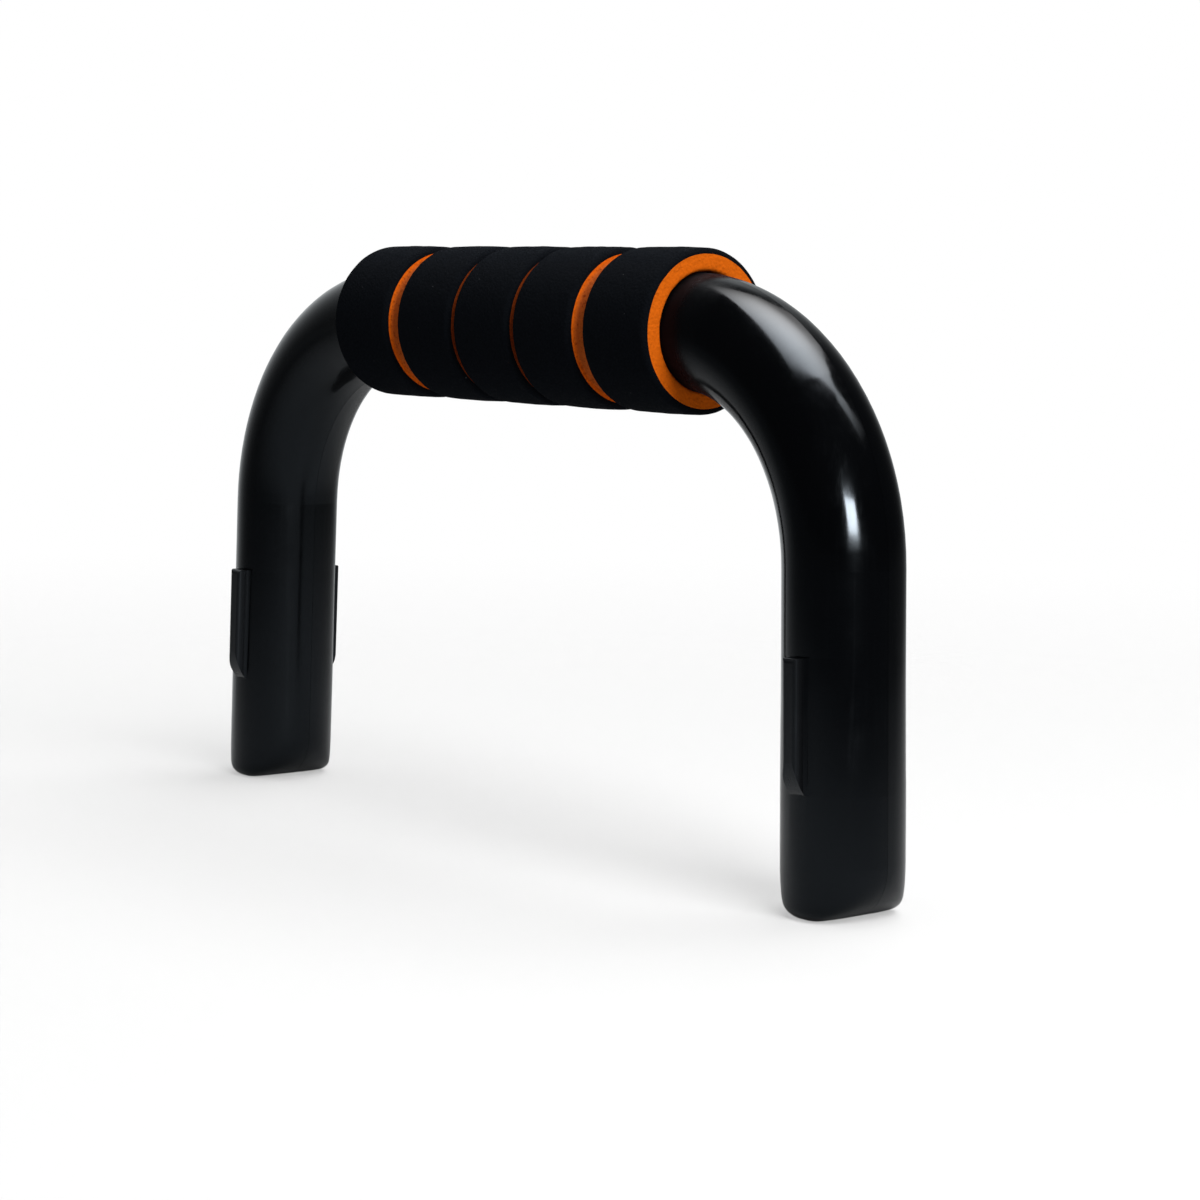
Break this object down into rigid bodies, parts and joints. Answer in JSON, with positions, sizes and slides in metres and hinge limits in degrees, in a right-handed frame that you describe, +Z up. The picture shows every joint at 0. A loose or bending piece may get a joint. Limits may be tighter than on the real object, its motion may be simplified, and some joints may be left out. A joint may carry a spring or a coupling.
{
  "type": "parallette bar",
  "caption": "U-shaped push-up handle bar: glossy bent tube of moulded half shells with a grooved two-colour foam grip and keyed plug-in leg ends.",
  "frame": {"origin": "on the floor, midway between the two leg tips", "axes": "+X along the bar, -Y to the front, +Z up"},
  "size_m": [0.275, 0.042, 0.1602],
  "materials": {
    "tube_plastic": "polished black moulded plastic",
    "foam_black": "matt closed-cell foam skin",
    "foam_orange": "matt cut closed-cell foam"
  },
  "bodies": {
    "root": {"front_shell": "tube_plastic", "rear_shell": "tube_plastic", "foam_core": "foam_orange", "foam_band_1": "foam_black", "foam_band_2": "foam_black", "foam_band_3": "foam_black", "foam_band_4": "foam_black", "foam_band_5": "foam_black"}
  },
  "joints": []
}
